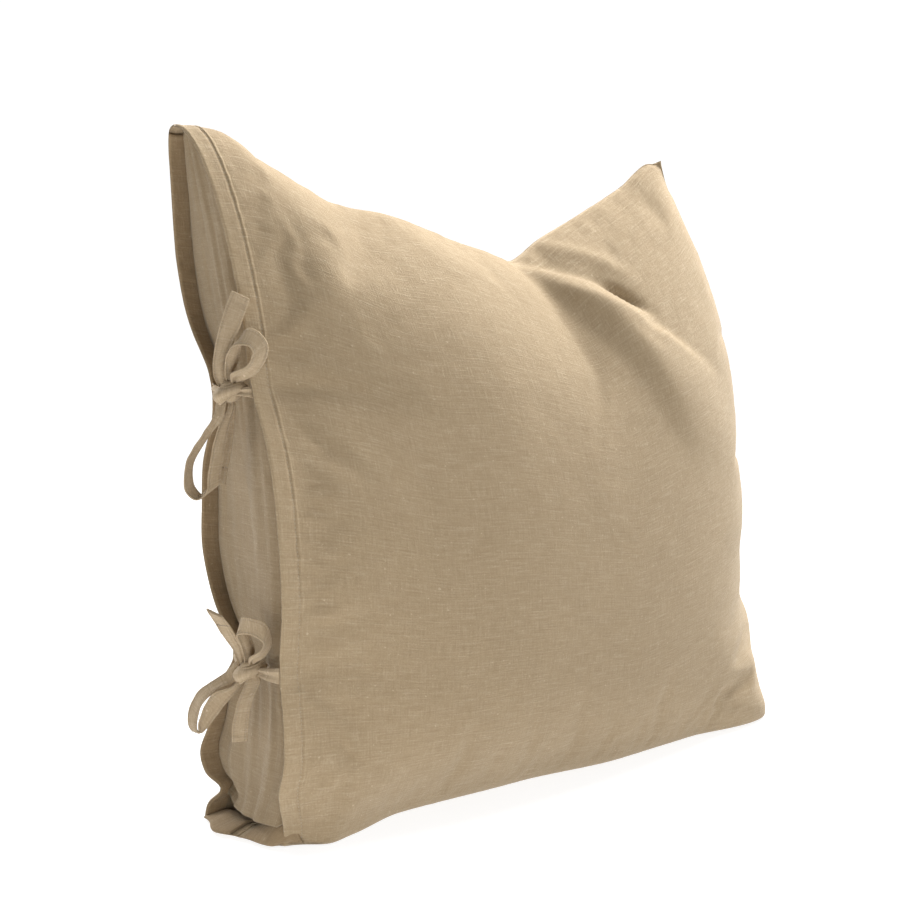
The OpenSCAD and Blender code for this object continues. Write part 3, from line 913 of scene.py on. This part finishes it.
def strip_rings(left, right, thick, bulge, gather, closed=False, turned_end=False):
    """Rings of a flat sewn tube that fills the space between two edge lines. Gather adds
    pleats along the strip; bulge crowns it; a turned end is thicker, up to its stitches."""
    count = len(left)
    ahead = np.gradient((left + right) / 2, axis=0)
    if closed:
        centre = (left + right) / 2
        ahead = np.roll(centre, -1, axis=0) - np.roll(centre, 1, axis=0)
    facing = unit(np.cross(right - left, ahead))
    u = np.array([0, 0.02, 0.06, 0.1, 0.14, 0.18, 0.26, 0.42])
    u = np.concatenate([u, 1 - u[::-1]])
    edge = np.abs(2 * u - 1)
    half = thick / 2 * np.sqrt(np.maximum(1 - edge**14, 0.06))
    half = half - 0.3 * thick * (bell(u, 0.14, 0.03) + bell(u, 0.86, 0.03))
    pleats = np.cos(3.2 * math.pi * u + 0.7)
    lift = bulge[:, None] * (1 - edge**2)[None] + gather[:, None] * pleats[None]
    rings = np.zeros((count, 2 * len(u), 3))
    across = left[:, None] * (1 - u)[None, :, None] + right[:, None] * u[None, :, None]
    length = lengths_along((left + right) / 2)
    from_end = (length[-1] - length) / MM
    turned = 0.55 * smooth(5.2, 4.2, from_end) - 0.3 * bell(from_end, 4.4, 0.5)
    stout = 1 + turned * turned_end
    wrinkle = 0.35 * MM * noise(length[:, None] / (7 * MM), u[None] * 2.2, 7)
    for k, sign in ((0, 1), (1, -1)):
        shift = (lift + wrinkle)[..., None] + sign * half[None, :, None] * stout[:, None, None]
        face = across + facing[:, None] * shift
        rings[:, k * len(u) : (k + 1) * len(u)] = face if k == 0 else face[:, ::-1]
    width = np.linalg.norm(right - left, axis=1).mean()
    coord = np.concatenate([u, 1.2 + u]) * width
    weave = np.stack(np.broadcast_arrays(coord[None] + 0.05, length[:, None]), -1)
    return rings, weave


def tie_strip(knot, stations, steps=9, thick=1.7, closed=False, turned_end=False):
    """Builds a strip from stations ((right, out, up) of one edge, of the other, bulge,
    gather), and returns its rings and its edge lines, so that the stitches follow them."""
    first = bow_place(knot, [p[0] for p in stations])
    second = bow_place(knot, [p[1] for p in stations])
    shape = np.array([[p[2], p[3]] for p in stations]) * MM
    if closed:
        places = np.arange(len(stations) + 5) - 2
        wanted = np.arange(0, len(stations), 1 / steps)
        first, second, shape = (np.concatenate([a[-2:], a, a[:3]]) for a in (first, second, shape))
    else:
        places = np.arange(len(stations))
        wanted = np.linspace(0, len(stations) - 1, (len(stations) - 1) * steps + 1)
        if turned_end:
            finer = np.linspace(len(stations) - 2, len(stations) - 1, 3 * steps)
            wanted = np.append(wanted[:-steps], finer)
    a, b = resample(places, first, wanted), resample(places, second, wanted)
    shape = resample(places, shape, wanted)
    return strip_rings(a, b, thick * MM, shape[:, 0], shape[:, 1], closed, turned_end), (a, b)


def strip_mesh(parts):
    """Joins strips, each (rings, weave, closed), into points, faces and cloth places."""
    points, faces, weave = [], [], []
    first = 0
    for rings, coords, closed in parts:
        count, around = rings.shape[:2]
        points.append(rings.reshape(-1, 3))
        weave.append(np.asarray(coords).reshape(-1, 2))
        faces += [f[::-1] for f in ring_faces(count, around, first, closed)]
        first += count * around
    return np.concatenate(points), faces, np.concatenate(weave)


def edge_stitches(name, edges, inset=2.0, lift=1.0):
    """Stitches along both edges of a strip, on each of its faces."""
    a, b = edges
    facing = unit(np.cross(b - a, np.gradient((a + b) / 2, axis=0)))
    width = np.linalg.norm(b - a, axis=1, keepdims=True)
    starts, ends, ups = [], [], []
    for share in (inset * MM / width, 1 - inset * MM / width):
        for sign in (1, -1):
            line = a * (1 - share) + b * share + sign * facing * lift * MM
            length = lengths_along(line)
            marks = np.arange(1.5 * MM, length[-1] - 2 * MM, 2.7 * MM)
            starts.append(resample(length, line, marks))
            ends.append(resample(length, line, marks + 1.8 * MM))
            ups.append(resample(length, facing * sign, marks))
    starts, ends, ups = (np.concatenate(lines) for lines in (starts, ends, ups))
    return stitches(name, starts, ends, ups, 0.00022, None)


UPPER_FRONT_LOOP = (
    ((-1, 2, 2), (2, 0, 3), 0, 1.2),
    ((-3, 7, 11), (2, 3, 13), 0, 1.2),
    ((-2, 14, 23), (7, 3, 22), 0.3, 0.8),
    ((1, 19, 31), (10, 9, 33), 0.5, 0.3),
    ((6, 22, 36), (13, 14, 45), 0.6, 0),
    ((13, 24, 37), (19, 21, 51), 0.6, 0),
    ((19, 24, 36), (27, 20, 48), 0.6, 0),
    ((22, 23, 32), (33, 17, 40), 0.6, 0),
    ((21, 22, 28), (34, 16, 33), 0.6, 0),
    ((19, 21, 23), (31, 14, 24), 0.5, 0.2),
    ((15, 20, 19), (24, 11, 15), 0.4, 0.5),
    ((8, 17, 16), (16, 9, 10), 0.2, 0.9),
    ((2, 12, 13), (8, 5, 8), 0, 1.2),
    ((1, 5, 5), (5, 2, 3), 0, 1.2),
)
UPPER_BACK_TAIL = (
    ((-9, 3, 2), (-1, 3, 3), 0, 1.0),
    ((-13, 5, 12), (-3, 6, 13), 0.2, 0.9),
    ((-13, 7, 24), (-1, 8, 26), 0.5, 0.5),
    ((-10, 9, 39), (4, 11, 37), 0.6, 0.2),
    ((-6, 12, 53), (10, 14, 49), 0.4, 0),
    ((-1, 14, 67), (15, 17, 61), 0.2, 0),
    ((5, 16, 81), (20, 19, 74), 0, 0),
)
UPPER_BACK_LOOP = (
    ((-10, 2, -4), (-3, 2, -5), 0, 1.0),
    ((-12, 4, -12), (-3, 5, -12), 0, 1.0),
    ((-13, 6, -20), (-6, 6, -24), 0.2, 0.7),
    ((-17, 7, -28), (-14, 2, -33), 0.3, 0.3),
    ((-24, 8, -39), (-22, -3, -43), 0.4, 0),
    ((-31, 8, -49), (-28, -4, -52), 0.4, 0),
    ((-36, 8, -59), (-33, -5, -62), 0.4, 0),
    ((-38, 8, -70), (-34, -5, -73), 0.4, 0),
    ((-38, 7, -83), (-32, -6, -82), 0.3, 0),
    ((-33, 5, -90), (-27, -7, -88), 0.2, 0),
    ((-27, 2, -91), (-22, -9, -84), 0.3, 0),
    ((-21, 2, -84), (-12, -8, -79), 0.4, 0),
    ((-20, 2, -72), (-10, -6, -69), 0.5, 0),
    ((-17, 3, -56), (-7, -4, -57), 0.5, 0),
    ((-14, 4, -42), (-4, -3, -42), 0.4, 0.3),
    ((-9, 4, -28), (0, -1, -27), 0.2, 0.7),
    ((-3, 3, -16), (4, 0, -15), 0, 1.0),
    ((-2, 1, -6), (3, 0, -5), 0, 1.0),
)
UPPER_FRONT_TAIL = (
    ((-6, -3, -4), (1, -3, -4), 0, 1.0),
    ((-8, -6, -14), (3, -6, -14), 0, 0.9),
    ((-12, -8, -30), (1, -8, -31), 0.3, 0.4),
    ((-17, -10, -52), (-2, -9, -52), 0.4, 0),
    ((-20, -10, -66), (-5, -9, -66), 0.3, 0),
    ((-22, -9, -80), (-7, -8, -80), 0, 0),
)
LOWER_FRONT_LOOP = (
    ((-5, 3, 4), (0, 1, 5), 0, 1.2),
    ((-4, 9, 12), (4, 2, 14), 0, 1.0),
    ((-6, 15, 24), (2, 5, 28), 0.3, 0.4),
    ((-8, 19, 32), (-5, 11, 44), 0.5, 0),
    ((0, 21, 34), (-1, 19, 48), 0.6, 0),
    ((8, 22, 32), (7, 20, 47), 0.6, 0),
    ((14, 22, 27), (15, 19, 44), 0.6, 0),
    ((14, 22, 23), (19, 16, 36), 0.6, 0),
    ((12, 21, 20), (20, 13, 24), 0.5, 0.2),
    ((8, 20, 17), (15, 11, 14), 0.3, 0.5),
    ((2, 16, 13), (7, 9, 9), 0.1, 0.9),
    ((-1, 6, 6), (3, 3, 4), 0, 1.2),
)
LOWER_BACK_TAIL = (
    ((-9, 1, 2), (-4, 1, 3), 0, 1.0),
    ((-12, 2, 11), (-5, 4, 12), 0, 0.8),
    ((-14, 3, 17), (-6, 7, 19), 0.2, 0.5),
    ((-20, 6, 27), (-9, 11, 29), 0.3, 0.2),
    ((-27, 9, 40), (-14, 14, 40), 0.2, 0),
    ((-34, 11, 53), (-20, 17, 48), 0, 0),
)
LOWER_BACK_LOOP = (
    ((-7, -2, 4), (-6, 2, -5), 0, 1.0),
    ((-13, -3, 5), (-9, 2, -8), 0, 0.8),
    ((-20, -4, -3), (-15, 3, -12), 0.3, 0.5),
    ((-31, -4, -11), (-25, 6, -16), 0.5, 0.2),
    ((-42, -4, -18), (-35, 8, -23), 0.5, 0),
    ((-49, -4, -27), (-41, 8, -31), 0.5, 0),
    ((-54, -3, -41), (-44, 9, -42), 0.4, 0),
    ((-52, -1, -52), (-44, 10, -50), 0.3, 0),
    ((-45, 1, -55), (-41, 11, -52), 0.3, 0),
    ((-40, 3, -54), (-42, 12, -44), 0.4, 0),
    ((-29, 4, -41), (-37, 12, -29), 0.5, 0),
    ((-20, 4, -29), (-29, 11, -18), 0.5, 0.1),
    ((-9, 4, -17), (-16, 9, -14), 0.3, 0.5),
    ((-2, 2, -9), (-7, 5, -8), 0, 1.0),
)
LOWER_FRONT_TAIL = (
    ((-3, 6, -4), (7, 6, -3), 0, 0.8),
    ((-4, 9, -12), (10, 9, -9), 0.4, 0.7),
    ((-9, 12, -24), (5, 12, -20), 0.5, 0.5),
    ((-12, 13, -36), (1, 13, -35), 0.4, 0.3),
    ((-14, 14, -47), (0, 14, -46), 0.2, 0),
    ((-14, 14, -59), (-1, 14, -58), 0, 0),
)
# Name, knot, stations, length of the flat strip in metres, and whether its end is free
SOFT_PARTS = (
    ("upper_front_tie_loop", UPPER_KNOT, UPPER_FRONT_LOOP, 0.13, False),
    ("upper_front_tie_tail", UPPER_KNOT, UPPER_FRONT_TAIL, 0.075, True),
    ("upper_back_tie_loop", UPPER_KNOT, UPPER_BACK_LOOP, 0.19, False),
    ("upper_back_tie_tail", UPPER_KNOT, UPPER_BACK_TAIL, 0.08, True),
    ("lower_front_tie_loop", LOWER_KNOT, LOWER_FRONT_LOOP, 0.12, False),
    ("lower_front_tie_tail", LOWER_KNOT, LOWER_FRONT_TAIL, 0.055, True),
    ("lower_back_tie_loop", LOWER_KNOT, LOWER_BACK_LOOP, 0.15, False),
    ("lower_back_tie_tail", LOWER_KNOT, LOWER_BACK_TAIL, 0.06, True),
)


def make_tie_part(name, knot, stations, length, tail):
    (rings, weave), edges = tie_strip(knot, stations, turned_end=tail)
    points, faces, coords = strip_mesh([(rings, weave, False)])
    # The ties use the brighter linen copy, with their light painted in
    piece = new_object(name + "_linen", points, faces, LIT_TIE_LINEN, coords)
    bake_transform(piece)
    finish_piece(piece, None, "linen_tie", name)
    thread = edge_stitches(name + "_stitches", edges)
    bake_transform(thread)


def knot_parts(knot, side):
    """The wrapped band of a knot and the twist of cloth inside it."""
    parts = []
    turns = np.linspace(0, 2 * math.pi, 16, endpoint=False)
    if side == FRONT:
        stations = []
        for a in turns:
            r, o = 9.5 * math.cos(a), 1.5 + 6.5 * math.sin(a)
            centre = 4 * math.cos(a) - 1.5
            half = 6 - 1.6 * math.cos(a) + 0.4 * math.sin(3 * a)
            stations.append(((r, o, centre - half), (r, o, centre + half), 3.6, 0.35))
        (rings, weave), _ = tie_strip(knot, stations, steps=5, thick=2.4, closed=True)
        parts.append((rings, weave, True))
    # Core: a lumpy roll that stands for the strands inside the band
    heights = np.linspace(-1, 1, 15)
    rings = []
    for h in heights:
        size = math.sqrt(max(1 - abs(h) ** 3, 0.02))
        row = []
        for a in np.linspace(0, 2 * math.pi, 28, endpoint=False):
            lump = 1 + 0.10 * math.sin(3 * a + 2.5 * h) + 0.06 * math.sin(7 * a - 3 * h)
            r = 9.5 * size * lump * math.cos(a)
            o = (2.5 if side == FRONT else -3.5) + 6 * size * lump * math.sin(a)
            row.append((r + 0.8 * h, o, 9.5 * h - 1))
        rings.append(bow_place(knot, row)[::-1])
    rings = np.array(rings)
    weave = np.stack(np.meshgrid(np.arange(15) * 0.0014, np.arange(28) * 0.0016, indexing="ij"), -1)
    parts.append((rings, weave, False))
    return parts


LEAD_DEPTH = 5.0


def lead_part(knot, side, surface, row, spread):
    """From the sewn end inside the hem out over the opening and into the knot."""
    z = UP * MM
    sewn, edge = surface.at(9, row, LEAD_DEPTH), surface.at(0.5, row, LEAD_DEPTH)
    centre = np.array(knot) * MM
    near = centre + np.array([-side * 1.5, side * 8, -1]) * MM
    between = edge * 0.55 + near * 0.45 + np.array([-2.0, 0, 0]) * MM
    stations = [
        (sewn, 7.5, 0),
        (edge, spread, 0.7),
        (between, 0.75 * spread, 1.2),
        (near, 3.2, 1.4),
        (centre, 3.0, 1.2),
    ]
    left = np.array([p + z * h for p, h, _ in stations])
    right = np.array([p - z * h for p, h, _ in stations])
    shape = np.array([g for _, _, g in stations]) * MM
    wanted = np.linspace(0, len(stations) - 1, 41)
    places = np.arange(len(stations))
    a, b, gather = (resample(places, q, wanted) for q in (left, right, shape))
    rings, weave = strip_rings(a, b, 1.9 * MM, 0 * gather, gather)
    return (rings, weave, False)


def make_knot(name, knot, side, surface):
    row = BASE_SHARE + (1 - BASE_SHARE) * knot[2] / HEIGHT
    spread = 4.8 if knot is UPPER_KNOT else 6.8
    parts = knot_parts(knot, side) + [lead_part(knot, side, surface, row, spread)]
    points, faces, coords = strip_mesh(parts)
    # The knot uses the brighter linen copy, with the ties' light painted in
    piece = new_object(name + "_linen", points, faces, LIT_TIE_LINEN, coords)
    finish_piece(piece, ROOT, "linen_tie", name)


# ---- The insert, out of sight behind the cover and the flap ------------------------


def insert_grid(side, depth, columns, rows):
    s, v = np.meshgrid(np.linspace(0, 1, columns) ** 1.5, np.linspace(0, 1, rows), indexing="ij")
    t = clamp((v - BASE_SHARE) / (1 - BASE_SHARE))
    begin = (12 + 26 * smooth(0.12, 0, t) + 20 * smooth(0.88, 1, t) + depth) / width_at(t)
    share = begin + (1 - begin) * s
    run = clamp((share - begin) * width_at(t) / 34)
    squeeze = (1 - (1 - run) ** 2.5) ** 0.5
    return skin(share, v, side, 9 + depth, squeeze), np.stack([share * 0.62, v * 0.66], -1)


def make_insert():
    for side, name in ((FRONT, "insert_front"), (BACK, "insert_back")):
        outer, weave = insert_grid(side, 0, 70, 80)
        inner, _ = insert_grid(side, 1.0, 70, 80)
        piece = closed_sheet(name + "_casing", outer, inner, weave, COTTON, side == BACK)
        finish_piece(piece, ROOT, "cotton", name)
    front, _ = insert_grid(FRONT, 1.8, 60, 60)
    back, _ = insert_grid(BACK, 1.8, 60, 60)
    y, z = np.meshgrid(np.arange(60) * 9.0, np.arange(60) * 9.0, indexing="ij")
    inside = smooth(0, 6, np.minimum(y, 531 - y) / 9)
    lumps = ((0.0009 * crumple(y, z, 38, 60) + 0.0009) * inside)[..., None]
    front = front - grid_normals(front, 1) * lumps
    back = back - grid_normals(back, -1) * lumps
    keep = (slice(1, -1), slice(2, -2))
    weave = np.stack([y, z], -1)[keep] * MM
    filling = closed_sheet("down_filling", front[keep], back[keep], weave, DOWN, False)
    finish_piece(filling, ROOT, "filling", "filling")
    edge, _ = insert_grid(FRONT, 0, 3, 160)
    route = edge[-1, 16:-4] + np.array([0.0012, 0.0002, 0])
    seam_thread("insert_seam_stitches", route, "insert_seam_thread")


# ---- Putting it together -----------------------------------------------------------

place_camera()
set_stage()
shift = simulate_cover()
bases = {side: finished_panel(side, shift) for side in (FRONT, BACK)}
surfaces = {side: Surface(side, bases[side]) for side in (FRONT, BACK)}
for side in (FRONT, BACK):
    make_panel(side, bases[side])
    make_hem(side, surfaces[side])
    hem_stitches(side, surfaces[side])
make_flap()
both = (bases[FRONT] + bases[BACK]) / 2
seam_thread("top_seam_stitches", both[6:-4, -1][::2] - np.array([0, 0, 0.003]), "top_seam_thread")
seam_thread("side_seam_stitches", both[-1, 12:-8] - np.array([0.003, 0, 0]), "side_seam_thread")
seam_thread("bottom_seam_stitches", both[8:-4, 0][::2] + np.array([0, 0, 0.003]), "bottom_seam_thread")
for part in SOFT_PARTS:
    make_tie_part(*part)
for height, knot in (("upper", UPPER_KNOT), ("lower", LOWER_KNOT)):
    for side, word in ((FRONT, "front"), (BACK, "back")):
        make_knot(f"{height}_{word}_tie", knot, side, surfaces[side])
make_insert()
